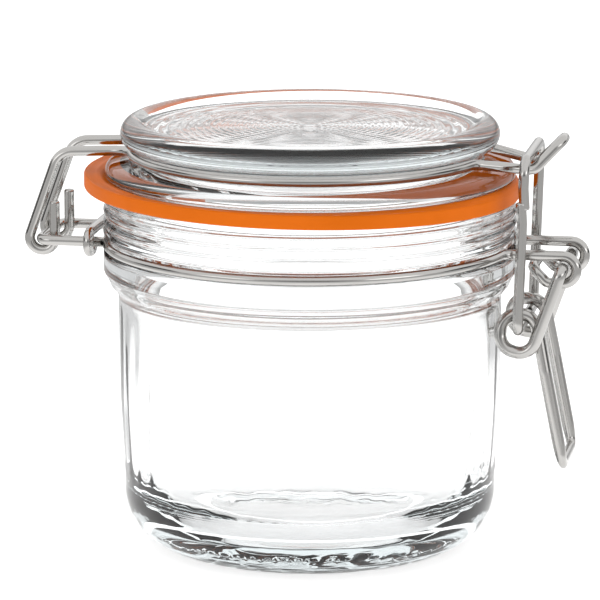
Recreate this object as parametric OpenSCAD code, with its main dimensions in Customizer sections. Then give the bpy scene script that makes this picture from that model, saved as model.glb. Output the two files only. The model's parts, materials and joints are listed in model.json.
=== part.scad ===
// Clip-top glass jar: a squat preserving jar with a glass lid, a flat rubber
// ring and four bent steel wires.
// Origin: centre of the foot the jar stands on. +X points to the latch and
// -X to the hinge, so every hinge and latch axis runs along Y.

/* [Jar] */
// Outer radius of the neck band
band_r = 47.5; // [46:0.1:49]
// Outer radius of the straight wall below the band
body_r = 44.1; // [43:0.1:44.4]
// Outer radius where the wall meets the bottom corner
heel_r = 43; // [42:0.1:43.5]
// Radius of the rounded bottom corner
corner_r = 13.2; // [10:0.1:14]
// Thickness of the straight wall
wall_t = 3.7; // [3:0.1:4.5]
// Height of the inner floor at its middle
floor_z = 7.4; // [6:0.1:9]
// Rise of the punt under the floor
punt_h = 2.8; // [1:0.1:3.5]
// Height at which the wall starts to swell into the band
step_z = 57.8; // [56:0.1:58]
// Height of the band's lower edge
band_z = 63.8; // [63:0.1:64.4]
// Height of the jar's rim, which the rubber ring lies on
rim_z = 82.9; // [82.6:0.1:83]
// Radius of the mouth
mouth_r = 39.6; // [39.4:0.1:40.5]
// Number of shallow ribs between the belt groove and the rim
rib_n = 3; // [2:1:4]
// Depth of those ribs
rib_h = 0.45; // [0.2:0.05:0.6]

/* [Lid and ring] */
// Thickness of the rubber ring
ring_t = 3.2; // [3.1:0.1:3.3]
// Outer radius of the rubber ring
ring_r = 50; // [49:0.1:50.5]
// Radius of the hole in the rubber ring
ring_hole_r = 40.8; // [40.6:0.1:42]
// How far the rubber ring sits off centre, towards the hinge
ring_shift = 1.9; // [0:0.1:2.2]
// Outer radius of the lid's flange
flange_r = 47.2; // [46:0.1:47.5]
// Outer radius of the lid's top bead
bead_r = 43.5; // [42.5:0.1:44]
// Overall height of the closed jar
total_h = 99.6; // [99:0.1:100.2]
// Radius of the plug under the lid
plug_r = 38.3; // [37:0.1:38.6]
// Depth of the plug below the flange
plug_h = 3.6; // [3:0.1:5]

/* [Wires] */
// Diameter of the belt, lid and link wires
wire_d = 2.4; // [2.2:0.05:2.5]
// Diameter of the lever wire
lever_d = 2.9; // [2.6:0.05:2.95]
// Radius of the belt wire's ring round the neck
belt_r = 46.7; // [46.5:0.1:47]
// Height of the belt wire
belt_z = 70.9; // [70.5:0.1:71.3]
// Radius of the lid wire's ring round the lid
bail_r = 41; // [40.8:0.1:41.5]
// Height of the lid wire
bail_z = 91.9; // [91.7:0.1:92]

/* [Hinge] */
// Distance of the hinge axis from the jar's axis
hinge_x = 61.4; // [60:0.1:64]
// Distance of each belt arm from the middle plane
arm_y = 10.5; // [10:0.1:12]
// Distance of each lid wire hook from the middle plane
hook_y = 7.5; // [6.5:0.1:8]
// Bend radius of the hooks round the hinge bar
hook_r = 2.95; // [2.8:0.05:3.1]
// Length of the hooks' upright ends above the hinge axis
stub_h = 8.6; // [6:0.1:10]

/* [Latch] */
// Distance of the lever's axis from the jar's axis
pivot_x = 59.5; // [59:0.1:60]
// Distance of each belt curl from the middle plane
curl_y = 8.8; // [8:0.1:8.8]
// Distance of the lever's pivot strands from the middle plane
strand_y = 11.7; // [11.7:0.1:11.8]
// Distance of the link's strands from the middle plane
link_y = 14.7; // [14.7:0.1:15.5]
// Distance of the lever's grip strands from the middle plane
grip_y = 9.4; // [9:0.1:11.7]
// Lever coil: distance of its centre from the jar's axis
coil_x = 49.8; // [49.8:0.1:50.2]
// Lever coil: height of its centre
coil_z = 53; // [52.5:0.1:53.5]
// Lever coil: radius of the wire's centre line
coil_r = 4.2; // [4.2:0.05:4.3]
// Height of the lever's tip
tip_z = 22.6; // [20:0.1:26]
// Lean of the grip from upright, in degrees
grip_lean = 11.2; // [7:0.1:12]

/* [Hidden] */
$fn = 72;
wire_fn = 32;
steel = "gainsboro";
pivot_z = belt_z - wire_d / 2 - lever_d / 2 - 0.2;
ring_z = rim_z;
flange_z = ring_z + ring_t;
bead_half = 3.4;
link_foot = [coil_x + 0.25, coil_z + 1.25];
nose_x = 52.3;
nose_z = bail_z - 2;
nose_tip = [58.4, 96.3];
link_top = [51.3, nose_z + 3.4];
lap = 0.2;
hair = 0.06;
joint_gap = 0.5;

// ---- Wire bending ----

function unit(v) = v / norm(v);
function bend_angle(a, b) = acos(max(-1, min(1, a * b)));
function bend_reach(a, b, r) = r * tan(bend_angle(a, b) / 2);
function reversed(list) = [for (i = [len(list) - 1:-1:0]) list[i]];
function flip_x(p) = [-p.x, p.y, p.z];
function flip_y(p) = [p.x, -p.y, p.z];
// A path on one side of the middle plane, carried on round the other side.
function both_sides(points) = concat(points, [for (p = reversed(points)) flip_y(p)]);
function both(list) = concat(list, reversed(list));

// A straight length of wire from p to q. It runs on a little into the bend at
// each end, and is a hair thinner, so that the two always join.
module straight(p, q, d) {
    v = q - p;
    translate(p - unit(v) * lap)
        rotate([0, acos(unit(v).z), atan2(v.y, v.x)])
            cylinder(d = d - hair, h = norm(v) + 2 * lap, $fn = wire_fn);
}

// A bend at corner c from direction a to direction b, with centre line radius r.
module bend(c, a, b, r, d) {
    side = unit(b - a * (a * b));
    axis = cross(a, side);
    middle = c - a * bend_reach(a, b, r) + side * r;
    multmatrix([[-side.x, a.x, axis.x, middle.x],
                [-side.y, a.y, axis.y, middle.y],
                [-side.z, a.z, axis.z, middle.z],
                [0, 0, 0, 1]])
        rotate_extrude(angle = bend_angle(a, b))
            translate([r, 0]) circle(d = d, $fn = wire_fn);
}

// A wire through corner points, with one bend radius for each inner corner.
module wire(points, radii, d) {
    n = len(points);
    dirs = [for (i = [0:n - 2]) unit(points[i + 1] - points[i])];
    reach = [for (i = [0:n - 1]) i == 0 || i == n - 1 ? 0
        : bend_reach(dirs[i - 1], dirs[i], radii[i - 1])];
    for (i = [0:n - 2])
        straight(points[i] + dirs[i] * reach[i],
                 points[i + 1] - dirs[i] * reach[i + 1], d);
    for (i = [1:n - 2])
        bend(points[i], dirs[i - 1], dirs[i], radii[i - 1], d);
}

// A closed wire loop, with one bend radius for each corner.
module wire_loop(points, radii, d) {
    n = len(points);
    dirs = [for (i = [0:n - 1]) unit(points[(i + 1) % n] - points[i])];
    before = [for (i = [0:n - 1]) dirs[(i + n - 1) % n]];
    reach = [for (i = [0:n - 1]) bend_reach(before[i], dirs[i], radii[i])];
    for (i = [0:n - 1]) {
        straight(points[i] + dirs[i] * reach[i],
                 points[(i + 1) % n] - dirs[i] * reach[(i + 1) % n], d);
        bend(points[i], before[i], dirs[i], radii[i], d);
    }
}

// An arc of wire round the jar's axis, from angle a0 to angle a1.
module arc(r, z, a0, a1, d) {
    translate([0, 0, z]) rotate([0, 0, a0]) rotate_extrude(angle = a1 - a0)
        translate([r, 0]) circle(d = d, $fn = wire_fn);
}

// Where a ring of radius r turns out through a bend of radius b to run at
// distance y from the middle plane, in a direction that leans in by lean degrees.
function exit_angle(r, b, y, lean = 0) = asin((y + b * cos(lean)) / (r + b));
function heading(a) = [sin(a), cos(a), 0];
function exit_point(r, a, z) = [r * cos(a), -r * sin(a), z];
function exit_start(r, a, z) = exit_point(r, a, z) - heading(a) * joint_gap;
function exit_corner(r, b, a, z, lean = 0) =
    exit_point(r, a, z) + heading(a) * b * tan((90 - a - lean) / 2);
// The angle at which the ring stops, a short straight before that bend.
function arc_end(r, a) = a + 2 * asin(joint_gap / r / 2);

// ---- Glass ----

function arc_points(c, r, a0, a1, n) = [for (i = [0:n])
    c + r * [cos(a0 + (a1 - a0) * i / n), sin(a0 + (a1 - a0) * i / n)]];

belt_groove_r = 1.5;
rib_top = rim_z - 1.6;
rib_foot = belt_z + 2.6;
shoulder_r = 4.6;

function rib_points() = [for (i = [1:rib_n * 8 - 1])
    let (t = i / (rib_n * 8))
    [band_r - rib_h * (1 - cos(360 * rib_n * t)) / 2,
     rib_foot + (rib_top - rib_foot) * t]];

jar_outside = concat(
    [[0, punt_h], [12, punt_h]],
    [for (t = [0.25:0.25:0.75]) [12 + t * 14, punt_h * (1 + cos(180 * t)) / 2]],
    [[26.5, 0]],
    arc_points([heel_r - corner_r, corner_r], corner_r, -90, 0, 10),
    [[body_r, 38], [body_r, step_z]],
    arc_points([body_r + shoulder_r, step_z], shoulder_r, 170, 128, 4),
    arc_points([band_r - 1.5, band_z + 1.2], 1.5, -50, 0, 4),
    arc_points([belt_r, belt_z], belt_groove_r, -58, -180, 6),
    arc_points([belt_r, belt_z], belt_groove_r, 180, 58, 6),
    rib_points(),
    arc_points([band_r - 1.2, rim_z - 1.2], 1.2, 0, 90, 4));

in_r = body_r - wall_t;
jar_inside = concat(
    [[0, floor_z], [24, floor_z + 0.5]],
    arc_points([in_r - 9.6, floor_z + 10.3], 9.6, -78, 0, 8),
    [[in_r, step_z], [mouth_r, step_z + 6], [mouth_r, rim_z - 1]],
    arc_points([mouth_r + 1, rim_z - 1], 1, 180, 90, 3),
    [[mouth_r + 1, rim_z + 5], [0, rim_z + 5]]);

module glass_jar() {
    color("lightcyan", 0.4)
        rotate_extrude($fn = 120)
            difference() {
                polygon(concat(jar_outside, [[0, rim_z]]));
                polygon(jar_inside);
            }
}

groove_half = 1.5;
groove_r = bail_r - wire_d / 2 - 0.3;
ceiling_z = 93.2;
well_r = 34.2;

lid_outline = concat(
    [[well_r, flange_z - plug_h], [plug_r - 0.8, flange_z - plug_h],
     [plug_r, flange_z - plug_h + 0.8], [plug_r, flange_z - 0.4], [plug_r + 0.4, flange_z]],
    arc_points([flange_r - 1, flange_z + 1], 1, -90, 0, 4),
    arc_points([flange_r - 1.6, flange_z + 1.9], 1.6, 0, 80, 4),
    [[bail_r + 0.3, bail_z - groove_half]],
    arc_points([groove_r + 0.6, bail_z - groove_half + 0.6], 0.6, -90, -180, 3),
    [[groove_r, bail_z + groove_half - 0.6], [groove_r + 0.5, bail_z + groove_half]],
    arc_points([bead_r - bead_half, total_h - bead_half], bead_half, -55, 125, 12),
    [[36.2, total_h - 1.9], [20, total_h - 1.75], [0, total_h - 1.7]],
    [[0, ceiling_z + 0.4], [22, ceiling_z + 0.3], [well_r - 2.4, ceiling_z],
     [well_r - 0.7, ceiling_z - 0.7], [well_r, ceiling_z - 2.4]]);

module glass_lid() {
    color("azure", 0.4)
        rotate_extrude($fn = 120) polygon(lid_outline);
}

// ---- Rubber ring ----

module rubber_gasket() {
    edge = 0.4;
    color("darkorange")
        translate([-ring_shift, 0, ring_z])
            rotate_extrude($fn = 120)
                polygon([[ring_hole_r, 0], [ring_r - edge, 0], [ring_r, edge],
                         [ring_r, ring_t - edge], [ring_r - edge, ring_t],
                         [ring_hole_r, ring_t]]);
}

// ---- Belt wire round the neck ----

exit_r = 3.5;
hinge_exit = exit_angle(belt_r, exit_r, arm_y);
latch_exit = exit_angle(belt_r, exit_r, curl_y);
curl_r = 3.1;
curl_x = pivot_x + curl_r;
curl_foot = belt_z - 2 * curl_r - 0.1;
curl_heel = [55.9, curl_foot];
bar = [52.6, belt_z - 2.85];
loop_x = -49.4;
loop_r = 2.3;
eye_bend = 2.1;

// One side's curl, from the groove to the bar that joins the two curls.
curl_path = [
    exit_start(belt_r, latch_exit, belt_z),
    exit_corner(belt_r, exit_r, latch_exit, belt_z),
    [curl_x, -curl_y, belt_z],
    [curl_x, -curl_y, curl_foot],
    [curl_heel.x, -curl_y, curl_heel.y],
    [bar.x, -curl_y, bar.y]];

// One side's hinge arm, from the groove to the hinge bar.
arm_path = [
    flip_x(exit_start(belt_r, hinge_exit, belt_z)),
    flip_x(exit_corner(belt_r, exit_r, hinge_exit, belt_z)),
    [-hinge_x, -arm_y, belt_z]];

// One side's eye round its arm, and the tie along the neck.
eye_path = [
    [loop_x, loop_r - arm_y, belt_z - 0.1],
    [loop_x, loop_r - arm_y, belt_z - loop_r],
    [loop_x, -arm_y - loop_r, belt_z - loop_r],
    [loop_x, -arm_y - loop_r, belt_z + loop_r]];

module neck_wire() {
    color(steel) {
        for (side = [0, 1]) mirror([0, side, 0])
            arc(belt_r, belt_z, arc_end(belt_r, hinge_exit) - 180,
                -arc_end(belt_r, latch_exit), wire_d);
        wire(both_sides(curl_path), both([exit_r, curl_r, curl_r, 2.4, 2.2]), wire_d);
        wire(both_sides(arm_path), both([exit_r, 2.6]), wire_d);
        wire(both_sides(eye_path), both([eye_bend, eye_bend, eye_bend]), wire_d);
    }
}

// ---- Wire round the lid ----

bail_exit_r = 6;
hinge_side = exit_angle(bail_r, bail_exit_r, hook_y);
nose_lean = 24;
nose_side = exit_angle(bail_r, 5, 10.8, nose_lean);
hook_lean = 19.7;
hook_left = -hinge_x - hook_r / cos(hook_lean) - hook_r * tan(hook_lean);
hook_z = bail_z - 0.7;
hook_top = -hinge_x - hook_r / cos(hook_lean) + (hook_z - belt_z) * tan(hook_lean);
nose_start = exit_corner(bail_r, 5, nose_side, bail_z, nose_lean);
nose_y = -nose_start.y - (nose_x - nose_start.x) * tan(nose_lean);
tip_y = 3.1;

hook_path = [
    [-hinge_x + hook_r, -hook_y, belt_z + stub_h],
    [-hinge_x + hook_r, -hook_y, belt_z - hook_r],
    [hook_left, -hook_y, belt_z - hook_r],
    [hook_top, -hook_y, hook_z],
    flip_x(exit_corner(bail_r, bail_exit_r, hinge_side, bail_z)),
    flip_x(exit_start(bail_r, hinge_side, bail_z))];

nose_path = [
    exit_start(bail_r, nose_side, bail_z),
    nose_start,
    [nose_x, -nose_y, nose_z],
    [nose_tip.x, -tip_y, nose_tip.y]];

module lid_wire() {
    hook_bend = hook_r - 0.05;
    color(steel) {
        for (side = [0, 1]) mirror([0, side, 0]) {
            arc(bail_r, bail_z, arc_end(bail_r, hinge_side) - 180,
                -arc_end(bail_r, nose_side), wire_d);
            wire(hook_path, [hook_bend, hook_bend, 5, bail_exit_r], wire_d);
        }
        wire(both_sides(nose_path), both([5, 3, 2.6]), wire_d);
    }
}

// ---- Lever ----

lift = [pivot_x - coil_x, pivot_z - coil_z];
strand_lean = atan(lift.x / lift.y) - asin(coil_r / norm(lift));
coil_turn = 360 - strand_lean - grip_lean;
coil_steps = 4;
coil_shift = strand_y - 8.6;

// Corners of the straight-sided path that the coil's bends round off.
function coil_corner(k) = let (
    a = -strand_lean - (k - 0.5) * coil_turn / coil_steps,
    r = coil_r / cos(coil_turn / coil_steps / 2))
    [coil_x + r * cos(a), -strand_y + coil_shift * (k - 1) / (coil_steps - 1),
     coil_z + r * sin(a)];

grip_foot = coil_x + coil_r * cos(grip_lean)
    + (coil_z + coil_r * sin(grip_lean) - tip_z) * tan(grip_lean);
splay_z = 44;
grip_splay = grip_foot - (splay_z - tip_z) * tan(grip_lean);

lever_path = concat(
    [[pivot_x, -strand_y, pivot_z]],
    [for (k = [1:coil_steps]) coil_corner(k)],
    [[grip_splay, -grip_y, splay_z], [grip_foot, -grip_y, tip_z]]);
lever_radii = concat([1.6], [for (k = [1:coil_steps]) coil_r * 0.93], [5, 2.2]);

module lever() {
    color(steel) wire_loop(both_sides(lever_path), both(lever_radii), lever_d);
}

// ---- Link ----

link_path = [
    [link_top.x, -link_y, link_top.y],
    [link_foot.x, -link_y, link_foot.y]];

module link() {
    color(steel) wire_loop(both_sides(link_path), both([3.4, 2]), wire_d);
}

glass_jar();
neck_wire();
glass_lid();
rubber_gasket();
lid_wire();
lever();
link();
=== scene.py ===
import json
import math

import bpy
import numpy as np
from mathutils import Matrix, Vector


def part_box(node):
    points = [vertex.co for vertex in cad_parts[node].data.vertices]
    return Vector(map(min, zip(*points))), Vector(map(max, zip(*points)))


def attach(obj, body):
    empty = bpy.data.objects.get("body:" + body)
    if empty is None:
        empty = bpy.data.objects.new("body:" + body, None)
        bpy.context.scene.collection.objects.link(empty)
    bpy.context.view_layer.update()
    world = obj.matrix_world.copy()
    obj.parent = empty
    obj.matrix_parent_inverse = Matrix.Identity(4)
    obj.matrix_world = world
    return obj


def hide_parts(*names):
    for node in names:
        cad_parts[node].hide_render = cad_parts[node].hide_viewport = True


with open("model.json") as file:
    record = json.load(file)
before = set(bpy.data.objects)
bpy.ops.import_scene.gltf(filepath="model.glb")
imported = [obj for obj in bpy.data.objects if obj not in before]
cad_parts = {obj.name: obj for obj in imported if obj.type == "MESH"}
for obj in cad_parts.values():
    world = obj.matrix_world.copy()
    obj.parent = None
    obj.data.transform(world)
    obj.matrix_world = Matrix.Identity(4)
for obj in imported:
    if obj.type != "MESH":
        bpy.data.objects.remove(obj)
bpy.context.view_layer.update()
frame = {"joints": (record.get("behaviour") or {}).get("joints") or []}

bl_info = {
    "name": "Clip-top glass canister",
    "version": (1, 0, 0),
    "blender": (4, 5, 0),
    "location": "3D View > Sidebar > Canister",
    "description": "Makes a clip-top jar: pressed glass, a rubber ring and four bent wires",
    "category": "Add Mesh",
}

MM = 0.001
JAR_TOP = float(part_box("glass_jar")[1].z)
LID_LOW, LID_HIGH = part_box("glass_lid")
RING_LOW, RING_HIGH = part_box("rubber_gasket")
JOINTS = {joint["name"]: np.array(joint["pos_m"]) for joint in frame["joints"]}


def length(name, text, default, low=0.0, high=1.0):
    """A length property, in metres, with its own name and description."""
    return bpy.props.FloatProperty(
        name=name, description=text, default=default, min=low, max=high,
        subtype="DISTANCE", unit="LENGTH", precision=5)


def colour(name, text, default):
    """A colour property without alpha."""
    return bpy.props.FloatVectorProperty(
        name=name, description=text, default=default, min=0, max=1, size=3, subtype="COLOR")


class CanisterGlass(bpy.types.PropertyGroup):
    """Sizes and tint of the two pressed glass pieces."""

    band_radius: length("Band radius", "Outer radius of the neck band", 47.5 * MM)
    body_radius: length("Body radius", "Outer radius of the straight wall", 44.1 * MM)
    heel_radius: length("Heel radius", "Outer radius above the bottom corner", 43.0 * MM)
    corner: length("Bottom corner", "Radius of the rounded bottom corner", 13.2 * MM)
    wall: length("Wall", "Thickness of the straight wall", 3.7 * MM)
    floor: length("Floor", "Height of the inner floor at its middle", 7.4 * MM)
    bowl: length("Bowl", "Radius of the inner bottom corner", 12.5 * MM)
    step: length("Step", "Height at which the wall swells into the band", 57.8 * MM)
    band: length("Band", "Height of the neck band's lower edge", 63.8 * MM)
    mouth_radius: length("Mouth radius", "Radius of the jar's mouth", 39.6 * MM)
    waviness: length("Waviness", "How far the pressed inner wall wanders", 0.2 * MM)
    ribs: bpy.props.IntProperty(
        name="Ribs", description="Shallow ribs above the belt groove", default=3, min=1, max=6)
    rings: bpy.props.IntProperty(
        name="Lid rings", description="Fine rings pressed into the lid", default=21, min=4, max=60)
    flange_radius: length("Flange radius", "Outer radius of the lid's flange", 47.2 * MM)
    bead_radius: length("Bead radius", "Outer radius of the lid's top bead", 43.5 * MM)
    plug_radius: length("Plug radius", "Radius of the plug under the lid", 38.3 * MM)
    well_radius: length("Well radius", "Radius of the hollow under the lid", 34.2 * MM)
    ceiling: length("Ceiling", "Height of the hollow's ceiling", 93.2 * MM)
    tint: colour("Tint", "Faint colour of the glass", (0.925, 0.95, 0.955))


class CanisterRing(bpy.types.PropertyGroup):
    """Sizes and colour of the flat rubber ring."""

    hole_radius: length("Hole radius", "Inner radius of the rubber ring", 40.8 * MM)
    edge: length("Edge radius", "Rounding of the ring's edges", 0.45 * MM)
    droop: length("Droop", "How far the lip hangs at the latch and lifts at the hinge", 1.2 * MM)
    press: length("Press", "How far the rubber is pressed against each glass face", 0.03 * MM)
    tint: colour("Colour", "Colour of the rubber", (0.63, 0.125, 0.0))


class CanisterWires(bpy.types.PropertyGroup):
    """Sizes and colour of the bent wires."""

    gauge: length("Wire", "Diameter of the belt, lid and link wires", 2.4 * MM)
    lever_gauge: length("Lever wire", "Diameter of the lever wire", 2.9 * MM)
    belt_radius: length("Belt radius", "Radius of the belt's ring", 46.7 * MM)
    grip_lean: bpy.props.FloatProperty(
        name="Grip lean", description="Lean of the lever's grip from upright",
        default=math.radians(11.2), subtype="ANGLE")
    press: bpy.props.FloatProperty(
        name="Pressed tip", description="How far the lever's tip is pressed flat", default=0.3,
        min=0, max=0.9, subtype="FACTOR")
    bail_radius: length("Lid wire radius", "Radius of the lid wire's ring", 41.0 * MM)
    bail_height: length("Lid wire height", "Height of the lid wire", 91.9 * MM)
    tint: colour("Colour", "Colour of the steel", (0.49, 0.48, 0.465))


class CanisterStage(bpy.types.PropertyGroup):
    """The camera's view and the floor's colour."""

    azimuth: bpy.props.FloatProperty(
        name="Azimuth", description="Camera's turn towards the latch", default=math.radians(10),
        subtype="ANGLE")
    elevation: bpy.props.FloatProperty(
        name="Elevation", description="Camera's height angle", default=math.radians(12),
        subtype="ANGLE")
    distance: length("Distance", "From the camera to the jar", 1.0, 0.2, 5.0)
    frame_width: length("Frame width", "Width of the picture at the jar", 138.57 * MM)
    floor_tint: colour("Floor", "Colour of the floor", (0.92, 0.92, 0.92))


# ---- Paths and surfaces ----

# A cut wire's bevel, as a share of its gauge, and how far the bevel narrows its end.
END_BEVEL = 0.132
END_SHRINK = 0.86
# Length of wire that one unit of a wire's UV map covers.
UV_LENGTH = 100 * MM


def fillet_path(points, radii, spacing=0.35 * MM):
    """A path through corner points with round bends, as an array of points.

    At a corner with unit directions a (in) and b (out), turned by angle T, the bend
    starts r*tan(T/2) before the corner. Its points are m + r*(sin(t)*a - cos(t)*s) for
    t from 0 to T, where s is the part of b across a, and m is the bend's centre.
    """
    points = np.asarray(points, float)
    step = np.diff(points, axis=0)
    way = step / np.linalg.norm(step, axis=1)[:, None]
    pieces = [points[:1]]
    for corner, a, b, radius in zip(points[1:-1], way[:-1], way[1:], radii):
        turn = math.acos(np.clip(a @ b, -1, 1))
        if turn < 1e-4 or radius <= 0:
            pieces.append(corner[None])
            continue
        side = b - a * (a @ b)
        side /= np.linalg.norm(side)
        middle = corner - a * radius * math.tan(turn / 2) + side * radius
        t = np.linspace(0, turn, max(4, int(radius * turn / spacing) + 1))[:, None]
        pieces.append(middle + radius * (np.sin(t) * a - np.cos(t) * side))
    pieces.append(points[-1:])
    return np.concatenate(pieces)


def even_path(points, spacing, closed=False):
    """The same path with evenly spaced points, found by length along it."""
    if closed:
        points = np.concatenate([points, points[:1]])
    gap = np.linalg.norm(np.diff(points, axis=0), axis=1)
    keep = np.concatenate([[True], gap > 1e-7])
    points = points[keep]
    run = np.concatenate([[0], np.cumsum(np.linalg.norm(np.diff(points, axis=0), axis=1))])
    count = max(8, int(round(run[-1] / spacing)))
    at = np.linspace(0, run[-1], count + 1)
    even = np.stack([np.interp(at, run, points[:, k]) for k in range(points.shape[1])], 1)
    return even[:-1] if closed else even


def ring_arc(radius, height, start, end, spacing=0.8 * MM):
    """Points on a level circle about the jar's axis: (r*cos(a), r*sin(a), height)."""
    count = max(3, int(radius * abs(end - start) / spacing))
    a = np.linspace(start, end, count)
    return np.stack([radius * np.cos(a), radius * np.sin(a), np.full(count, height)], 1)


def other_side(points):
    """The path mirrored in the middle plane and walked the other way."""
    return np.asarray(points)[::-1] * [1, -1, 1]


def across(path, closed):
    """Directions along a path, and two unit vectors across it that do not twist.

    A first guess at the cross vector is carried from each point to the next by the
    smallest turn, the angle left over is summed along the path and turned back. On a
    closed path the last remainder is spread over the whole length.
    """
    if closed:
        along = np.roll(path, -1, 0) - np.roll(path, 1, 0)
    else:
        along = np.gradient(path, axis=0)
    along /= np.linalg.norm(along, axis=1)[:, None]
    spare = np.eye(3)[np.argmin(np.abs(along), axis=1)]
    first = np.cross(along, spare)
    first /= np.linalg.norm(first, axis=1)[:, None]
    after_t = np.roll(along, -1, 0)
    after_n = np.roll(first, -1, 0)
    share = np.sum(first * after_t, 1) / (1 + np.sum(along * after_t, 1))
    moved = first - share[:, None] * (along + after_t)
    twist = np.arctan2(
        np.sum(np.cross(moved, after_n) * after_t, 1), np.sum(moved * after_n, 1))
    total = np.concatenate([[0], np.cumsum(twist)[:-1]])
    if closed:
        left = (total[-1] + twist[-1] + math.pi) % (2 * math.pi) - math.pi
        total = total - left * np.arange(len(path)) / len(path)
    second = np.cross(along, first)
    turn = -total[:, None]
    return (along, first * np.cos(turn) + second * np.sin(turn),
            second * np.cos(turn) - first * np.sin(turn))


def grid_mesh(name, grid, loop_rows, uv, poles=()):
    """A mesh from a grid of points whose columns close up, with pole points as caps.

    The grid has shape (rows, columns, 3). The UV grid has one column more, and one row
    more if the rows close up too. Each pole is (point, row, turned over), and a fan of
    triangles joins it to that row.
    """
    rows, columns = grid.shape[:2]
    points = np.concatenate([grid.reshape(-1, 3)] + [np.asarray(p[0], float)[None] for p in poles])
    r = np.arange(rows if loop_rows else rows - 1)[:, None]
    c = np.arange(columns)[None]
    nr, nc = (r + 1) % rows, (c + 1) % columns
    quads = np.stack([r * columns + c, r * columns + nc, nr * columns + nc, nr * columns + c], 2)
    quads = quads.reshape(-1, 4)
    uv_quads = np.stack([uv[r, c], uv[r, c + 1], uv[r + 1, c + 1], uv[r + 1, c]], 2).reshape(-1, 2)
    faces, uvs = [quads.ravel()], [uv_quads]
    starts, sizes = [np.arange(len(quads)) * 4], [np.full(len(quads), 4)]
    loops = len(quads) * 4
    for k, (_, row, turned_over) in enumerate(poles):
        i = np.arange(columns)
        tip = np.full(columns, rows * columns + k)
        a, b = row * columns + i, row * columns + (i + 1) % columns
        fan = np.stack([tip, b, a] if turned_over else [tip, a, b], 1)
        fan_uv = np.stack([uv[row, i], uv[row, i + 1], uv[row, i]], 1).reshape(-1, 2)
        faces.append(fan.ravel())
        uvs.append(fan_uv)
        starts.append(loops + i * 3)
        sizes.append(np.full(columns, 3))
        loops += columns * 3
    mesh = bpy.data.meshes.new(name)
    mesh.vertices.add(len(points))
    mesh.vertices.foreach_set("co", points.astype(np.float32).ravel())
    mesh.loops.add(loops)
    mesh.loops.foreach_set("vertex_index", np.concatenate(faces).astype(np.int32))
    mesh.polygons.add(sum(len(s) for s in starts))
    mesh.polygons.foreach_set("loop_start", np.concatenate(starts).astype(np.int32))
    mesh.polygons.foreach_set("loop_total", np.concatenate(sizes).astype(np.int32))
    layer = mesh.uv_layers.new(name="along")
    layer.data.foreach_set("uv", np.concatenate(uvs).astype(np.float32).ravel())
    mesh.update(calc_edges=True)
    mesh.validate()
    mesh.polygons.foreach_set("use_smooth", np.ones(len(mesh.polygons), bool))
    return mesh


def add_piece(name, mesh, material, body, slot, *nodes):
    """Puts a finished mesh in the scene, riding a body in place of CAD nodes."""
    piece = bpy.data.objects.new(name, mesh)
    bpy.context.scene.collection.objects.link(piece)
    mesh.materials.append(material)
    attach(piece, body)
    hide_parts(*nodes)
    return piece


def turned(name, outline, columns, shape):
    """A turned surface: outline points (radius, height) carried round the jar's axis.

    The outline starts and ends on the axis. shape(radius, height, angle) gives the
    pressed radius and height, as whole arrays.
    """
    outline = np.asarray(outline, float)
    a = np.linspace(0, 2 * math.pi, columns, endpoint=False)[None]
    r = np.repeat(outline[1:-1, :1], columns, 1)
    z = np.repeat(outline[1:-1, 1:], columns, 1)
    r, z = shape(r, z, a)
    grid = np.stack([r * np.cos(a), r * np.sin(a), z], 2)
    run = np.concatenate([[0], np.cumsum(np.linalg.norm(np.diff(outline[1:-1], axis=0), axis=1))])
    uv = np.stack(np.broadcast_arrays(
        np.linspace(0, 1, columns + 1)[None], run[:, None] / run[-1]), 2)
    ends = [([0, 0, outline[0, 1]], 0, True), ([0, 0, outline[-1, 1]], len(outline) - 3, False)]
    return grid_mesh(name, grid, False, uv, ends)


def wire_mesh(name, path, gauge, closed=False, sides=20):
    """A round wire along a path, with flat ends and a small bevel if the path is open.

    Each ring of points is path + radius*(cos(v)*n + sin(v)*b), where n and b are the
    two directions across the path and v goes once round.
    """
    along, n, b = across(path, closed)
    run = np.concatenate([[0], np.cumsum(np.linalg.norm(np.diff(path, axis=0), axis=1))])
    if not closed:
        bevel = END_BEVEL * gauge
        path = np.concatenate([path[:1], path[:1] + along[:1] * bevel, path[1:-1],
                               path[-1:] - along[-1:] * bevel, path[-1:]])
        n, b = (np.concatenate([v[:1], v, v[-1:]]) for v in (n, b))
        run = np.concatenate([run[:1], run + bevel / 2, run[-1:] + bevel])
    radius = np.full((len(path), 1, 1), gauge / 2)
    if not closed:
        radius[[0, -1]] *= END_SHRINK
    v = np.linspace(0, 2 * math.pi, sides, endpoint=False)[None, :, None]
    grid = path[:, None] + radius * (np.cos(v) * n[:, None] + np.sin(v) * b[:, None])
    rows = np.append(run, run[-1] + gauge / 4) if closed else run
    uv = np.stack(np.broadcast_arrays(
        rows[:, None] / UV_LENGTH, np.linspace(0, 1, sides + 1)[None]), 2)
    ends = [] if closed else [(path[0], 0, True), (path[-1], len(path) - 1, False)]
    return grid_mesh(name, grid, closed, uv, ends)


def joined(name, meshes):
    """One mesh from several, keeping each one's UV map."""
    parts = [bpy.data.objects.new(name, mesh) for mesh in meshes]
    for part in parts:
        bpy.context.scene.collection.objects.link(part)
    with bpy.context.temp_override(
            active_object=parts[0], selected_editable_objects=parts, object=parts[0]):
        bpy.ops.object.join()
    mesh = parts[0].data
    bpy.data.objects.remove(parts[0])
    return mesh


# ---- Materials ----


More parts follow.
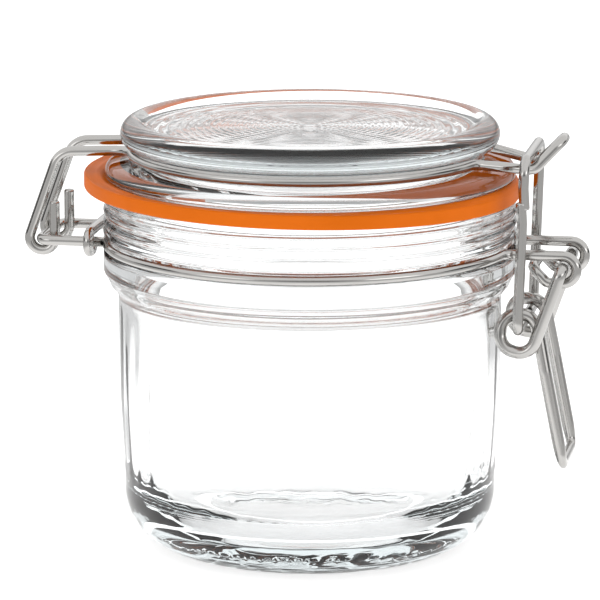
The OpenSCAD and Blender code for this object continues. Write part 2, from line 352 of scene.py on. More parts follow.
def put(tree, kind, **values):
    """A node of the given kind. A key names an input, or is i and an input's number, or
    else names a property of the node. A value that is a socket is linked, others are set."""
    made = tree.nodes.new(kind)
    for key, value in values.items():
        socket = made.inputs[int(key[1:])] if key[0] == "i" and key[1:].isdigit() else None
        if socket is None:
            match = [s for s in made.inputs if s.name.replace(" ", "_").lower() == key]
            socket = match[0] if match else None
        if socket is None:
            setattr(made, key, value)
        elif isinstance(value, bpy.types.NodeSocket):
            tree.links.new(value, socket)
        else:
            socket.default_value = value
    return made


def group(name, inputs, outputs):
    """An empty shader node group with the named float, colour or vector sockets."""
    tree = bpy.data.node_groups.new(name, "ShaderNodeTree")
    for label, kind, value in inputs:
        socket = tree.interface.new_socket(label, in_out="INPUT", socket_type=kind)
        if value is not None:
            socket.default_value = value
    for label, kind in outputs:
        tree.interface.new_socket(label, in_out="OUTPUT", socket_type=kind)
    return tree, tree.nodes.new("NodeGroupInput"), tree.nodes.new("NodeGroupOutput")


def blank_material(name):
    """A material with an empty Principled BSDF, and its tree and shader."""
    material = bpy.data.materials.new(name)
    material.use_nodes = True
    tree = material.node_tree
    return material, tree, tree.nodes["Principled BSDF"]


def pressed_waves_group():
    """Slow swells and short ripples of pressed glass, as one height value."""
    tree, enter, leave = group(
        "Pressed waves",
        [("Vector", "NodeSocketVector", None), ("Scale", "NodeSocketFloat", 60.0),
         ("Stretch", "NodeSocketFloat", 0.2)],
        [("Height", "NodeSocketFloat")])
    stretch = put(tree, "ShaderNodeCombineXYZ", i0=1.0, i1=1.0, i2=enter.outputs["Stretch"])
    flat = put(tree, "ShaderNodeVectorMath", operation="MULTIPLY",
               i0=enter.outputs["Vector"], i1=stretch.outputs[0])
    slow = put(tree, "ShaderNodeTexNoise", vector=flat.outputs[0],
               scale=enter.outputs["Scale"], detail=1.0)
    fast_scale = put(tree, "ShaderNodeMath", operation="MULTIPLY", i0=enter.outputs["Scale"], i1=4.0)
    fast = put(tree, "ShaderNodeTexNoise", vector=flat.outputs[0],
               scale=fast_scale.outputs[0], detail=2.0)
    sharp = put(tree, "ShaderNodeMath", operation="MULTIPLY", i0=fast.outputs[0], i1=0.18)
    both = put(tree, "ShaderNodeMath", operation="ADD", i0=slow.outputs[0], i1=sharp.outputs[0])
    tree.links.new(both.outputs[0], leave.inputs["Height"])
    return tree


def drawn_lines_group():
    """Fine lines along a drawn wire, and larger smudges, from its UV map."""
    tree, enter, leave = group(
        "Drawn lines",
        [("UV", "NodeSocketVector", None), ("Fineness", "NodeSocketFloat", 26.0)],
        [("Lines", "NodeSocketFloat"), ("Smudge", "NodeSocketFloat")])
    squash = put(tree, "ShaderNodeCombineXYZ", i0=2.2, i1=enter.outputs["Fineness"], i2=1.0)
    laid = put(tree, "ShaderNodeVectorMath", operation="MULTIPLY",
               i0=enter.outputs["UV"], i1=squash.outputs[0])
    lines = put(tree, "ShaderNodeTexNoise", vector=laid.outputs[0], scale=2.0, detail=4.0)
    smudge = put(tree, "ShaderNodeTexNoise", vector=enter.outputs["UV"], scale=9.0, detail=2.0)
    tree.links.new(lines.outputs[0], leave.inputs["Lines"])
    tree.links.new(smudge.outputs[0], leave.inputs["Smudge"])
    return tree


def shared(name, build):
    """The node group of that name, built once."""
    return bpy.data.node_groups.get(name) or build()


def use_group(tree, name, build, **values):
    """A group node that holds the shared group, with its own values."""
    made = tree.nodes.new("ShaderNodeGroup")
    made.node_tree = shared(name, build)
    for key, value in values.items():
        socket = made.inputs[key]
        if isinstance(value, bpy.types.NodeSocket):
            tree.links.new(value, socket)
        else:
            socket.default_value = value
    return made


def glass_material(name, tint, density, scale, stretch, depth):
    """Clear pressed glass with an uneven skin, which greys with the depth of the glass."""
    material, tree, shader = blank_material(name)
    place = put(tree, "ShaderNodeTexCoord")
    waves = use_group(tree, "Pressed waves", pressed_waves_group,
                      Vector=place.outputs["Object"], Scale=scale, Stretch=stretch)
    bump = put(tree, "ShaderNodeBump", strength=0.35, distance=depth,
               height=waves.outputs["Height"])
    haze = put(tree, "ShaderNodeMapRange", value=waves.outputs["Height"],
               from_min=0.3, from_max=0.9, to_min=0.0, to_max=0.015)
    tree.links.new(haze.outputs[0], shader.inputs["Roughness"])
    tree.links.new(bump.outputs[0], shader.inputs["Normal"])
    shader.inputs["Base Color"].default_value = (1, 1, 1, 1)
    shader.inputs["Transmission Weight"].default_value = 1.0
    shader.inputs["IOR"].default_value = 1.5
    depths = put(tree, "ShaderNodeVolumeAbsorption")
    depths.inputs["Color"].default_value = (*tint, 1)
    depths.inputs["Density"].default_value = density
    tree.links.new(depths.outputs[0], tree.nodes["Material Output"].inputs["Volume"])
    return material


def rubber_material(tint):
    """Satin orange rubber with a fine moulded grain and faint clouds of paler colour."""
    material, tree, shader = blank_material("moulded_rubber")
    place = put(tree, "ShaderNodeTexCoord")
    cloud = put(tree, "ShaderNodeTexNoise", vector=place.outputs["Object"], scale=55.0, detail=3.0)
    grain = put(tree, "ShaderNodeTexNoise", vector=place.outputs["Object"], scale=1800.0,
                detail=2.0)
    pale = tuple(min(1, c * 1.18 + 0.01) for c in tint)
    deep = tuple(c * 0.88 for c in tint)
    tone = put(tree, "ShaderNodeMix", data_type="RGBA", i0=cloud.outputs[0])
    tone.inputs[6].default_value = (*deep, 1)
    tone.inputs[7].default_value = (*pale, 1)
    tree.links.new(tone.outputs[2], shader.inputs["Base Color"])
    rough = put(tree, "ShaderNodeMapRange", value=cloud.outputs[0], from_min=0.3, from_max=0.7,
                to_min=0.34, to_max=0.5)
    tree.links.new(rough.outputs[0], shader.inputs["Roughness"])
    bump = put(tree, "ShaderNodeBump", strength=0.25, distance=0.00003, height=grain.outputs[0])
    tree.links.new(bump.outputs[0], shader.inputs["Normal"])
    shader.inputs["Specular IOR Level"].default_value = 0.06
    return material


def wire_material(name, tint, rough_low, rough_high, fineness):
    """Drawn steel with fine lines along the wire and smudges of paler and darker steel."""
    material, tree, shader = blank_material(name)
    laid = put(tree, "ShaderNodeTexCoord")
    drawn = use_group(tree, "Drawn lines", drawn_lines_group,
                      UV=laid.outputs["UV"], Fineness=fineness)
    tone = put(tree, "ShaderNodeMix", data_type="RGBA", i0=drawn.outputs["Smudge"])
    tone.inputs[6].default_value = (*(c * 0.9 for c in tint), 1)
    tone.inputs[7].default_value = (*(min(1, c * 1.08) for c in tint), 1)
    tree.links.new(tone.outputs[2], shader.inputs["Base Color"])
    rough = put(tree, "ShaderNodeMapRange", value=drawn.outputs["Lines"], from_min=0.3,
                from_max=0.7, to_min=rough_low, to_max=rough_high)
    tree.links.new(rough.outputs[0], shader.inputs["Roughness"])
    bump = put(tree, "ShaderNodeBump", strength=0.2, distance=0.00002,
               height=drawn.outputs["Lines"])
    tree.links.new(bump.outputs[0], shader.inputs["Normal"])
    shader.inputs["Metallic"].default_value = 1.0
    return material


def drawn_steel(tint):
    """The steel that the belt, lid and link wires share, built once."""
    name = "drawn_steel"
    return bpy.data.materials.get(name) or wire_material(name, tint, 0.08, 0.2, 26.0)


# ---- Glass pieces ----


def arc_2d(centre, radius, start, end, count=8):
    """Points on a circle in the (radius, height) plane, angles in degrees."""
    a = np.radians(np.linspace(start, end, count))
    return np.stack([centre[0] + radius * np.cos(a), centre[1] + radius * np.sin(a)], 1)


def eased(start, end, count=10):
    """Points from start to end whose radius follows a half cosine wave."""
    t = np.linspace(0, 1, count)
    share = (1 - np.cos(math.pi * t)) / 2
    return np.stack([start[0] + (end[0] - start[0]) * share, start[1] + (end[1] - start[1]) * t], 1)


def even_profile(outline, spacing):
    """Adds points to the straight stretches of an outline, and keeps its own points."""
    parts = [outline[:1]]
    for p, q in zip(outline[:-1], outline[1:]):
        count = max(1, int(math.ceil(np.linalg.norm(q - p) / spacing)))
        parts.append(p + (q - p) * np.linspace(0, 1, count + 1)[1:, None])
    out = np.concatenate(parts)
    keep = np.concatenate([[True], np.linalg.norm(np.diff(out, axis=0), axis=1) > 1e-6])
    return out[keep]


def jar_outline(glass, belt_z, rim_z):
    """The jar's outer and inner outlines, from the middle of the punt up to the rim and
    from the rim down to the middle of the inner floor."""
    band, body, heel = glass.band_radius, glass.body_radius, glass.heel_radius
    inner, floor, bowl = body - glass.wall, glass.floor, glass.bowl
    punt_rise, punt_flat, foot = 2.8 * MM, 12 * MM, 26.5 * MM
    shoulder, band_edge, rim_edge, lip_edge = 4.6 * MM, 1.5 * MM, 1.2 * MM, 1.0 * MM
    groove_middle, groove, rib_half = 46.7 * MM, 1.5 * MM, 0.225 * MM
    straight_foot, straight_low = 38 * MM, 48 * MM
    share = np.linspace(0, 1, 9)
    punt = np.stack([punt_flat + (foot - punt_flat) * share,
                     punt_rise * (1 + np.cos(math.pi * share)) / 2], 1)
    rib_foot, rib_top = belt_z + 2.6 * MM, rim_z - 1.6 * MM
    share = np.linspace(0, 1, glass.ribs * 10 + 1)[1:-1]
    ribs = np.stack([band - rib_half * (1 - np.cos(2 * math.pi * glass.ribs * share)),
                     rib_foot + (rib_top - rib_foot) * share], 1)
    outside = np.concatenate([
        [[0, punt_rise], [punt_flat / 2, punt_rise]], punt,
        [[foot + MM, 0], [foot + 2.1 * MM, 0]],
        arc_2d((heel - glass.corner, glass.corner), glass.corner, -87, 0, 40),
        eased((heel, 15 * MM), (body, straight_foot)), [[body, straight_low]],
        arc_2d((body + shoulder, glass.step), shoulder, 180, 128, 12),
        arc_2d((band - band_edge, glass.band + 1.2 * MM), band_edge, -50, 0, 8),
        arc_2d((groove_middle, belt_z), groove, -58, -180, 12),
        arc_2d((groove_middle, belt_z), groove, 180, 58, 12)[1:], ribs,
        arc_2d((band - rim_edge, rim_z - rim_edge), rim_edge, 0, 90, 9)])
    drawn_in = inner - 0.5 * MM
    inside = np.concatenate([
        arc_2d((glass.mouth_radius + lip_edge, rim_z - lip_edge), lip_edge, 90, 180, 8),
        eased((glass.mouth_radius, 70 * MM), (inner, 56 * MM)), [[inner, 46 * MM]],
        eased((inner, 44 * MM), (drawn_in, floor + bowl + MM)),
        arc_2d((drawn_in - bowl, floor + bowl + 0.5 * MM), bowl, 0, -84, 26),
        eased((23 * MM, floor + 0.45 * MM), (9 * MM, floor + 0.1 * MM), 8),
        [[5 * MM, floor], [0, floor]]])
    return outside, inside


class CANISTER_OT_jar(bpy.types.Operator):
    """Make the pressed glass jar"""

    bl_idname = "canister.jar"
    bl_label = "Glass jar"

    def execute(self, context):
        glass = context.scene.canister_glass
        belt_z = float(JOINTS["lid_hinge"][2])
        outside, inside = jar_outline(glass, belt_z, JAR_TOP)
        outline = even_profile(np.concatenate([outside, inside]), 1.6 * MM)
        inner, floor, rim = glass.body_radius - glass.wall, glass.floor, JAR_TOP

        def pressed(r, z, a):
            """The inner wall gets slow lobes round the jar that fade at floor and mouth,
            sums of sines of the angle. The inner floor gets a faint ripple. The heel gets
            fine level rings, a row of stipple, which is a sine round the jar times a
            narrow bell in height, and a row of blank dashes above them."""
            hollow = (r < inner + 0.3 * MM) & (z > floor + 0.2 * MM) & (z < rim - 0.5 * MM)
            fade = np.clip((z - floor) / (14 * MM), 0, 1) * np.clip((glass.step - z) / (12 * MM), 0, 1)
            lobes = (np.sin(3 * a + 0.7) + 0.7 * np.sin(7 * a + 30 * z)
                     + 0.5 * np.sin(17 * a + 2.1 + 45 * z) + 0.2 * np.sin(43 * a - 60 * z))
            r = r + np.where(hollow & (r > 20 * MM), glass.waviness * fade * lobes, 0)
            ripple = np.sin(9 * a + 900 * r) + 0.7 * np.sin(5 * a - 500 * r)
            low = (z < floor + 1.2 * MM) & (z > floor - 0.2 * MM) & (r < 28 * MM)
            z = z + np.where(low, 0.06 * MM * ripple * np.clip(r / (6 * MM), 0, 1), 0)
            outer = (r > 29 * MM) & (z < 26 * MM) & ~hollow
            rings = np.exp(-((z - 2.6 * MM) / (1.3 * MM)) ** 2) * np.sin(z / (0.17 * MM))
            stipple = np.exp(-((z - 5.2 * MM) / (0.35 * MM)) ** 2) * np.clip(np.sin(72 * a), 0, 1)
            dashes = np.exp(-((z - 19.0 * MM) / (1.0 * MM)) ** 2) * np.clip(
                np.sin(44 * a) + 0.4 * np.sin(9 * a) - 0.1, 0, 1)
            push = 0.05 * MM * rings + 0.13 * MM * stipple + 0.2 * MM * dashes
            return r + np.where(outer, push, 0), z

        mesh = turned("glass_jar_pressed", outline, 288, pressed)
        material = glass_material("pressed_jar_glass", glass.tint, 40.0, 26.0, 0.3, 0.0006)
        add_piece("glass_jar_pressed", mesh, material, "jar", "jar_glass", "glass_jar")
        return {"FINISHED"}


class CANISTER_OT_lid(bpy.types.Operator):
    """Make the pressed glass lid with its fine rings"""

    bl_idname = "canister.lid"
    bl_label = "Glass lid"

    def execute(self, context):
        glass, wires = context.scene.canister_glass, context.scene.canister_wires
        top, foot, flange_z = float(LID_HIGH.z), float(LID_LOW.z), float(RING_HIGH.z)
        flange, bead, plug = glass.flange_radius, glass.bead_radius, glass.plug_radius
        well, ceiling, half = glass.well_radius, glass.ceiling, 3.4 * MM
        groove_z, groove = wires.bail_height, wires.bail_radius - wires.gauge / 2 - 0.3 * MM
        rings = np.linspace(0, 1, glass.rings * 6 + 1)
        ring_r = 36.2 * MM * (1 - rings)
        ring_z = top - 1.9 * MM + 0.2 * MM * rings - 0.03 * MM * (
            1 - np.cos(2 * math.pi * glass.rings * rings ** 1.15)) * np.clip(ring_r / (4 * MM), 0, 1)
        under = np.concatenate([
            [[0, ceiling + 0.4 * MM], [22 * MM, ceiling + 0.3 * MM]],
            arc_2d((well - 2.4 * MM, ceiling - 2.4 * MM), 2.4 * MM, 90, 0, 6),
            [[well, foot + 0.6 * MM], [well + 0.6 * MM, foot], [plug - 0.8 * MM, foot],
             [plug, foot + 0.8 * MM], [plug, flange_z - 0.4 * MM], [plug + 0.4 * MM, flange_z]],
            arc_2d((flange - MM, flange_z + MM), MM, -90, 0, 6),
            arc_2d((flange - 2.2 * MM, flange_z + 1.3 * MM), 2.2 * MM, 0, 78, 10),
            [[wires.bail_radius + 0.3 * MM, groove_z - 1.5 * MM]],
            arc_2d((groove + 0.6 * MM, groove_z - 0.9 * MM), 0.6 * MM, -90, -180, 5),
            [[groove, groove_z + 0.9 * MM], [groove + 0.5 * MM, groove_z + 1.5 * MM]],
            arc_2d((bead - half, top - half), half, -55, 125, 20)])
        outline = even_profile(np.concatenate([under, np.stack([ring_r, ring_z], 1)]), 1.4 * MM)

        def pressed(r, z, a):
            """Shallow swells on the well's ceiling: a slow wave round the lid that grows
            outwards, plus a cosine of the radius."""
            inside = (z < ceiling + MM) & (z > ceiling - 3 * MM) & (r < well)
            swell = np.sin(3 * a) * np.clip(r / (20 * MM), 0, 1) ** 2 + np.cos(r / (1.9 * MM))
            return r, z + np.where(inside, 0.018 * MM * swell, 0)

        mesh = turned("glass_lid_pressed", outline, 380, pressed)
        material = glass_material("pressed_lid_glass", glass.tint, 30.0, 30.0, 1.0, 0.00012)
        add_piece("glass_lid_pressed", mesh, material, "lid", "lid_glass", "glass_lid")
        return {"FINISHED"}


class CANISTER_OT_ring(bpy.types.Operator):
    """Make the flat rubber ring"""

    bl_idname = "canister.ring"
    bl_label = "Rubber ring"

    def execute(self, context):
        ring = context.scene.canister_ring
        low, high = float(RING_LOW.z) - ring.press, float(RING_HIGH.z) + ring.press
        outer = float(RING_HIGH.x - RING_LOW.x) / 2
        shift = float(RING_HIGH.x + RING_LOW.x) / 2
        hole, edge = ring.hole_radius, ring.edge
        section = np.concatenate([
            arc_2d((hole + edge, low + edge), edge, 180, 270, 6),
            arc_2d((outer - edge, low + edge), edge, 270, 360, 6),
            arc_2d((outer - edge, high - edge), edge, 0, 90, 6),
            arc_2d((hole + edge, high - edge), edge, 90, 180, 6)])
        section = even_profile(np.concatenate([section, section[:1]]), 0.8 * MM)[:-1]
        # The section goes round a circle that is off the jar's axis by shift. Beyond the
        # rim the lip moves by droop*x/outer, down at the latch and up at the hinge, with a
        # slight twist, and a shallow bell-shaped groove runs along its top.
        columns = 320
        a = np.linspace(0, 2 * math.pi, columns, endpoint=False)[None]
        r = section[:, :1] + 0 * a
        x, y = shift + r * np.cos(a), r * np.sin(a)
        lip = np.clip((np.hypot(x, y) - 47.3 * MM) / (0.7 * MM), 0, 1)
        z = section[:, 1:] - lip * ring.droop * (x / outer + 0.12 * np.sin(2 * a + 0.6))
        dish = np.exp(-((r - outer + 2.0 * MM) / (0.9 * MM)) ** 2) * (section[:, 1:] > high - 0.01 * MM)
        grid = np.stack([x, y, z - 0.28 * MM * dish * lip], 2)
        uv = np.stack(np.broadcast_arrays(
            np.linspace(0, 1, columns + 1)[None], np.linspace(0, 1, len(section) + 1)[:, None]), 2)
        mesh = grid_mesh("rubber_ring", grid, True, uv)
        add_piece("rubber_ring", mesh, rubber_material(ring.tint), "lid", "orange_rubber",
                  "rubber_gasket")
        return {"FINISHED"}


# ---- Wires ----


def exit_from_ring(ring, bend, away, height, lean=0.0):
    """Where a level ring turns out through a bend to run away from the jar.

    The ring stops at angle A below the X axis, with sin(A) = (away + bend*cos(lean)) /
    (ring + bend). Returns A, the ring's last point and the bend's corner point.
    """
    a = math.asin((away + bend * math.cos(lean)) / (ring + bend))
    last = np.array([ring * math.cos(a), -ring * math.sin(a), height])
    way = np.array([math.sin(a), math.cos(a), 0])
    return a, last, last + way * bend * math.tan((math.pi / 2 - a - lean) / 2)


def flip_x(point):
    """The point mirrored to the hinge side."""
    return np.asarray(point) * [-1, 1, 1]


def belt_path(wires):
    """The belt wire as one closed loop, and the tie with its two eyes."""
    hinge, pivot = JOINTS["lid_hinge"], JOINTS["lever_pivot"]
    belt, z = wires.belt_radius, hinge[2]
    arm_y, curl_y, curl, bend = 10.5 * MM, 8.8 * MM, 3.1 * MM, 3.5 * MM
    a_hinge, hinge_start, hinge_corner = exit_from_ring(belt, bend, arm_y, z)
    a_latch, latch_start, latch_corner = exit_from_ring(belt, bend, curl_y, z)
    curl_x, low = pivot[0] + curl, z - 2 * curl - 0.1 * MM
    arm = fillet_path(
        [[hinge[0], 0, z], [hinge[0], -arm_y, z], flip_x(hinge_corner), flip_x(hinge_start)],
        [2.6 * MM, bend])
    latch = fillet_path(
        [latch_start, latch_corner, [curl_x, -curl_y, z], [curl_x, -curl_y, low],
         [55.9 * MM, -curl_y, low], [52.6 * MM, -curl_y, z - 2.85 * MM],
         [52.6 * MM, 0, z - 2.85 * MM]],
        [bend, curl, curl, 2.4 * MM, 2.2 * MM])
    front = np.concatenate([arm, ring_arc(belt, z, a_hinge - math.pi, -a_latch), latch])
    loop = even_path(np.concatenate([front, other_side(front)]), 0.5 * MM, True)
    eye, tie_x = 2.3 * MM, -49.4 * MM
    corners = np.array([
        [tie_x, eye - arm_y, z - 0.1 * MM], [tie_x, eye - arm_y, z - eye],
        [tie_x, -arm_y - eye, z - eye], [tie_x, -arm_y - eye, z + eye]])
    corners = np.concatenate([corners, other_side(corners)])
    tie = even_path(fillet_path(corners, [2.1 * MM] * 6), 0.4 * MM)
    return loop, tie


def lid_wire_path(wires):
    """The lid wire from one cut end, round the lid and its nose, to the other."""
    hinge = JOINTS["lid_hinge"]
    ring, z = wires.bail_radius, wires.bail_height
    hook_y, hook, lean = 7.5 * MM, 2.95 * MM, math.radians(19.7)
    a_hinge, hinge_start, hinge_corner = exit_from_ring(ring, 6 * MM, hook_y, z)
    nose_lean = math.radians(24)
    a_nose, nose_start, nose_corner = exit_from_ring(ring, 5 * MM, 10.8 * MM, z, nose_lean)
    side_x = hinge[0] - hook / math.cos(lean)
    nose_x, nose_z, hook_z = 52.3 * MM, z - 2 * MM, z - 0.7 * MM
    nose_y = -nose_corner[1] - (nose_x - nose_corner[0]) * math.tan(nose_lean)
    back = fillet_path(
        [[hinge[0] + hook, -hook_y, hinge[2] + 8.6 * MM],
         [hinge[0] + hook, -hook_y, hinge[2] - hook],
         [side_x - hook * math.tan(lean), -hook_y, hinge[2] - hook],
         [side_x + (hook_z - hinge[2]) * math.tan(lean), -hook_y, hook_z],
         flip_x(hinge_corner), flip_x(hinge_start)],
        [2.9 * MM, 2.9 * MM, 5 * MM, 6 * MM])
    nose = fillet_path(
        [nose_start, nose_corner, [nose_x, -nose_y, nose_z], [58.4 * MM, -3.1 * MM, 96.3 * MM],
         [58.4 * MM, 0, 96.3 * MM]],
        [5 * MM, 3 * MM, 2.6 * MM])
    front = np.concatenate([back, ring_arc(ring, z, a_hinge - math.pi, -a_nose), nose])
    return even_path(np.concatenate([front, other_side(front)]), 0.5 * MM)


def lever_path(wires):
    """The lever as one closed loop: crossbar, two open coils, grip strands and tip."""
    pivot = JOINTS["lever_pivot"]
    centre = np.array([49.8, 53.0]) * MM
    coil, strand_y, grip_y, tip_z, splay_z = np.array([4.2, 11.7, 9.4, 22.6, 44.0]) * MM
    grip_lean = wires.grip_lean
    lift = pivot[[0, 2]] - centre
    strand_lean = math.atan(lift[0] / lift[1]) - math.asin(coil / np.linalg.norm(lift))
    steps = 4
    turn = (2 * math.pi - strand_lean - grip_lean) / steps
    k = np.arange(steps)
    a = -strand_lean - (k + 0.5) * turn
    reach = coil / math.cos(turn / 2)
    shift = strand_y - 8.6 * MM
    coils = np.stack([centre[0] + reach * np.cos(a), -strand_y + shift * k / (steps - 1),
                      centre[1] + reach * np.sin(a)], 1)
    foot_x = (centre[0] + coil * math.cos(grip_lean)
              + (centre[1] + coil * math.sin(grip_lean) - tip_z) * math.tan(grip_lean))
    splay_x = foot_x - (splay_z - tip_z) * math.tan(grip_lean)
    corners = np.concatenate([
        [[pivot[0], 0, pivot[2]], [pivot[0], -strand_y, pivot[2]]], coils,
        [[splay_x, -grip_y, splay_z], [foot_x, -grip_y, tip_z], [foot_x, 0, tip_z]]])
    side = fillet_path(corners, [1.6 * MM] + [coil * 0.93] * steps + [5 * MM, 2.2 * MM])
    return even_path(np.concatenate([side, other_side(side)]), 0.4 * MM, True)


def link_path(wires):
    """The link: a rectangle of wire with rounded corners, whose two cut ends are
    welded side by side on one strand."""
    foot = JOINTS["link_swing"]
    top = np.array([51.3 * MM, 0, wires.bail_height + 1.4 * MM])
    y, jog, lap, weld, bend_run = 14.7 * MM, 0.42 * MM, 0.8 * MM, 83.2 * MM, 4 * MM
    way = top - foot
    on_strand = [foot + way * (h - foot[2]) / way[2] - [0, y, 0]
                 for h in (weld + lap, weld - bend_run, weld + bend_run, weld - lap)]
    first = on_strand[0] + [-jog, -jog / 2, 0]
    last = on_strand[3] + [jog, jog / 2, 0]
    corners = [first, on_strand[1], foot - [0, y, 0], foot + [0, y, 0], top + [0, y, 0],
               top - [0, y, 0], on_strand[2], last]
    bends = [6 * MM, 2 * MM, 2 * MM, 3.4 * MM, 3.4 * MM, 6 * MM]
    return even_path(fillet_path(corners, bends), 0.4 * MM)


class CANISTER_OT_belt(bpy.types.Operator):
    """Make the belt wire round the neck"""

    bl_idname = "canister.belt"
    bl_label = "Belt wire"

    def execute(self, context):
        wires = context.scene.canister_wires
        loop, tie = belt_path(wires)
        mesh = joined("belt_wire", [wire_mesh("belt_loop", loop, wires.gauge, True),
                                    wire_mesh("belt_tie", tie, wires.gauge)])
        add_piece("belt_wire", mesh, drawn_steel(wires.tint), "jar", "steel_wire", "neck_wire")
        return {"FINISHED"}


class CANISTER_OT_lid_wire(bpy.types.Operator):
    """Make the wire that clasps the lid"""

    bl_idname = "canister.lid_wire"
    bl_label = "Lid wire"

    def execute(self, context):
        wires = context.scene.canister_wires
        mesh = wire_mesh("lid_wire_bent", lid_wire_path(wires), wires.gauge)
        add_piece("lid_wire_bent", mesh, drawn_steel(wires.tint), "lid", "steel_wire", "lid_wire")
        return {"FINISHED"}


def press_tip(mesh, share, lean):
    """Flattens the lever's tip: the lower a point, the closer it moves to the grip's
    middle plane, by up to the given share of its distance from it."""
    points = np.zeros(len(mesh.vertices) * 3)
    mesh.vertices.foreach_get("co", points)
    points = points.reshape(-1, 3)
    length_pressed = 7 * MM
    out = np.array([math.cos(lean), 0, math.sin(lean)])
    lowest = points[:, 2].min()
    tip = points[points[:, 2] < lowest + 1.5 * MM].mean(0)
    depth = np.clip((lowest + length_pressed - points[:, 2]) / length_pressed, 0, 1)
    depth = depth * depth * (3 - 2 * depth)
    points -= (depth * share * ((points - tip) @ out))[:, None] * out
    mesh.vertices.foreach_set("co", points.ravel())
    mesh.update()


class CANISTER_OT_lever(bpy.types.Operator):
    """Make the latch lever with its coils"""

    bl_idname = "canister.lever"
    bl_label = "Lever"

    def execute(self, context):
        wires = context.scene.canister_wires
        mesh = wire_mesh("lever_bent", lever_path(wires), wires.lever_gauge, True, 24)
        press_tip(mesh, wires.press, wires.grip_lean)
        material = wire_material("lever_steel", wires.tint, 0.1, 0.24, 32.0)
        add_piece("lever_bent", mesh, material, "lever", "lever_wire", "lever")
        return {"FINISHED"}


class CANISTER_OT_link(bpy.types.Operator):
    """Make the link that joins lever and lid wire"""

    bl_idname = "canister.link"
    bl_label = "Link"

    def execute(self, context):
        wires = context.scene.canister_wires
        mesh = wire_mesh("link_bent", link_path(wires), wires.gauge)
        add_piece("link_bent", mesh, drawn_steel(wires.tint), "link", "steel_wire", "link")
        return {"FINISHED"}


# ---- Stage ----

# Soft spots in the light tent: turn from the front in degrees, the cosines at which a
# spot begins and is full, and its depth. A dark opening, two flags, two bright panels.
SPOTS = ((10, 0.8, 0.99, 0.62), (-84, 0.93, 0.97, 0.97), (104, 0.93, 0.97, 0.97),
         (56, 0.93, 0.975, -1.6), (-38, 0.93, 0.975, -1.2))


def floor_material(tint):
    """Pale matt floor that glows a little, like a light table. Rays that have been
    reflected see it darken away from the jar: painted shade, which puts dark reflections in the steel
    and glass."""
    material, tree, shader = blank_material("pale_floor")
    place = put(tree, "ShaderNodeTexCoord")
    far = put(tree, "ShaderNodeVectorMath", operation="LENGTH", i0=place.outputs["Object"])
    path = put(tree, "ShaderNodeLightPath")
    # Painted shade: after a glossy bounce, the floor fades towards near black and glows less from 0.12
    # m to 0.27 m out, so reflections show a dark surround.
    once = put(tree, "ShaderNodeMath", operation="MINIMUM", i0=path.outputs["Glossy Depth"], i1=1.0)
    edge = put(tree, "ShaderNodeMapRange", interpolation_type="SMOOTHSTEP",
               value=far.outputs["Value"], from_min=0.12, from_max=0.27, to_min=0.0, to_max=0.55)
    reflected_shade = put(tree, "ShaderNodeMath", operation="MULTIPLY", i0=edge.outputs[0], i1=once.outputs[0])
    glow = put(tree, "ShaderNodeMath", operation="MULTIPLY_ADD", i0=reflected_shade.outputs[0], i1=-0.5, i2=0.5)
    tone = put(tree, "ShaderNodeMix", data_type="RGBA", i0=reflected_shade.outputs[0])
    tone.inputs[6].default_value = (*tint, 1)
    # Painted shade: the near-black colour that reflected rays see away from the jar.
    tone.inputs[7].default_value = (0.05, 0.05, 0.05, 1)
    tree.links.new(tone.outputs[2], shader.inputs["Base Color"])
    tree.links.new(glow.outputs[0], shader.inputs["Emission Strength"])
    shader.inputs["Emission Color"].default_value = (1, 1, 1, 1)
    shader.inputs["Roughness"].default_value = 0.9
    shader.inputs["Specular IOR Level"].default_value = 0.0
    return material


def studio_world():
    """A white light tent, dim along the horizon. Each soft spot multiplies its light by
    one minus the spot's depth, which fades out by the cosine of the angle from the
    spot's middle and towards the top of the tent."""
    world = bpy.data.worlds.new("light_tent")
    world.use_nodes = True
    tree = world.node_tree
    tree.nodes.clear()
    way = put(tree, "ShaderNodeTexCoord")
    axes = put(tree, "ShaderNodeSeparateXYZ", i0=way.outputs["Generated"])
    total = put(tree, "ShaderNodeMapRange", interpolation_type="SMOOTHSTEP",
                value=axes.outputs[2], from_min=0.0, from_max=0.2, to_min=0.4, to_max=1.08).outputs[0]
    low = put(tree, "ShaderNodeMapRange", interpolation_type="SMOOTHSTEP",
              value=axes.outputs[2], from_min=0.55, from_max=0.85, to_min=1.0, to_max=0.0)
    for turn, edge, core, depth in SPOTS:
        a = math.radians(turn)
        facing = put(tree, "ShaderNodeVectorMath", operation="DOT_PRODUCT",
                     i0=way.outputs["Generated"], i1=(math.sin(a), -math.cos(a), 0.0))
        flag = put(tree, "ShaderNodeMapRange", interpolation_type="SMOOTHSTEP",
                   value=facing.outputs["Value"], from_min=edge, from_max=core,
                   to_min=0.0, to_max=depth)
        shade = put(tree, "ShaderNodeMath", operation="MULTIPLY", i0=flag.outputs[0],
                    i1=low.outputs[0])
        left = put(tree, "ShaderNodeMath", operation="SUBTRACT", i0=1.0, i1=shade.outputs[0])
        total = put(tree, "ShaderNodeMath", operation="MULTIPLY", i0=total,
                    i1=left.outputs[0]).outputs[0]
    light = put(tree, "ShaderNodeBackground", strength=total)
    light.inputs["Color"].default_value = (1, 1, 1, 1)
    out = put(tree, "ShaderNodeOutputWorld")
    tree.links.new(light.outputs[0], out.inputs[0])
    bpy.context.scene.world = world


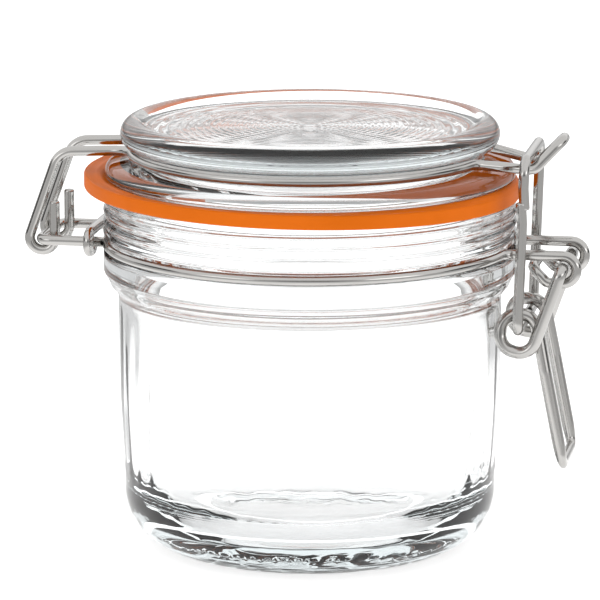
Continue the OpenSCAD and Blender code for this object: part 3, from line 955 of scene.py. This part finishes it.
class CANISTER_OT_stage(bpy.types.Operator):
    """Make the floor, the light and the camera"""

    bl_idname = "canister.stage"
    bl_label = "Stage"

    def execute(self, context):
        stage = context.scene.canister_stage
        half = 20.0
        corners = [(-half, -half, 0), (half, -half, 0), (half, half, 0), (-half, half, 0)]
        mesh = bpy.data.meshes.new("floor")
        mesh.from_pydata(corners, [], [(0, 1, 2, 3)])
        mesh.materials.append(floor_material(stage.floor_tint))
        floor = bpy.data.objects.new("floor", mesh)
        context.scene.collection.objects.link(floor)
        studio_world()
        data = bpy.data.cameras.new("camera")
        camera = bpy.data.objects.new("camera", data)
        context.scene.collection.objects.link(camera)
        context.scene.camera = camera
        a, e = stage.azimuth, stage.elevation
        back = np.array([math.sin(a) * math.cos(e), -math.cos(a) * math.cos(e), math.sin(e)])
        right = np.array([math.cos(a), math.sin(a), 0])
        up = np.cross(back, right)
        middle, aside, above = 55 * MM, 2.31 * MM, 1.73 * MM
        aim = np.array([0, 0, middle]) - right * aside + up * above
        camera.location = aim + back * stage.distance
        camera.rotation_mode = "QUATERNION"
        camera.rotation_quaternion = Vector(-back).to_track_quat("-Z", "Y")
        data.sensor_width = 36.0
        data.lens = data.sensor_width * stage.distance / stage.frame_width
        data.clip_start, data.clip_end = 0.01, 100.0
        context.scene.view_settings.view_transform = "Standard"
        bounces = 24
        context.scene.cycles.max_bounces = bounces
        context.scene.cycles.transmission_bounces = bounces
        return {"FINISHED"}


class CANISTER_PT_panel(bpy.types.Panel):
    """Lists the canister's pieces"""

    bl_label = "Canister"
    bl_idname = "CANISTER_PT_panel"
    bl_space_type = "VIEW_3D"
    bl_region_type = "UI"
    bl_category = "Canister"

    def draw(self, context):
        for step in STEPS:
            self.layout.operator(step.bl_idname)


GROUPS = {"canister_glass": CanisterGlass, "canister_ring": CanisterRing,
          "canister_wires": CanisterWires, "canister_stage": CanisterStage}
STEPS = (CANISTER_OT_stage, CANISTER_OT_jar, CANISTER_OT_lid, CANISTER_OT_ring,
         CANISTER_OT_belt, CANISTER_OT_lid_wire, CANISTER_OT_lever, CANISTER_OT_link)


def register():
    """Registers the classes and hangs the property groups on the scene."""
    for kind in (*GROUPS.values(), *STEPS, CANISTER_PT_panel):
        bpy.utils.register_class(kind)
    for name, kind in GROUPS.items():
        setattr(bpy.types.Scene, name, bpy.props.PointerProperty(type=kind))


def unregister():
    """Takes the property groups and classes away again."""
    for name in GROUPS:
        delattr(bpy.types.Scene, name)
    for kind in reversed((*GROUPS.values(), *STEPS, CANISTER_PT_panel)):
        bpy.utils.unregister_class(kind)


def main():
    register()
    bpy.ops.canister.stage()
    bpy.ops.canister.jar()
    bpy.ops.canister.lid()
    bpy.ops.canister.ring()
    bpy.ops.canister.belt()
    bpy.ops.canister.lid_wire()
    bpy.ops.canister.lever()
    bpy.ops.canister.link()


if __name__ == "__main__":
    main()
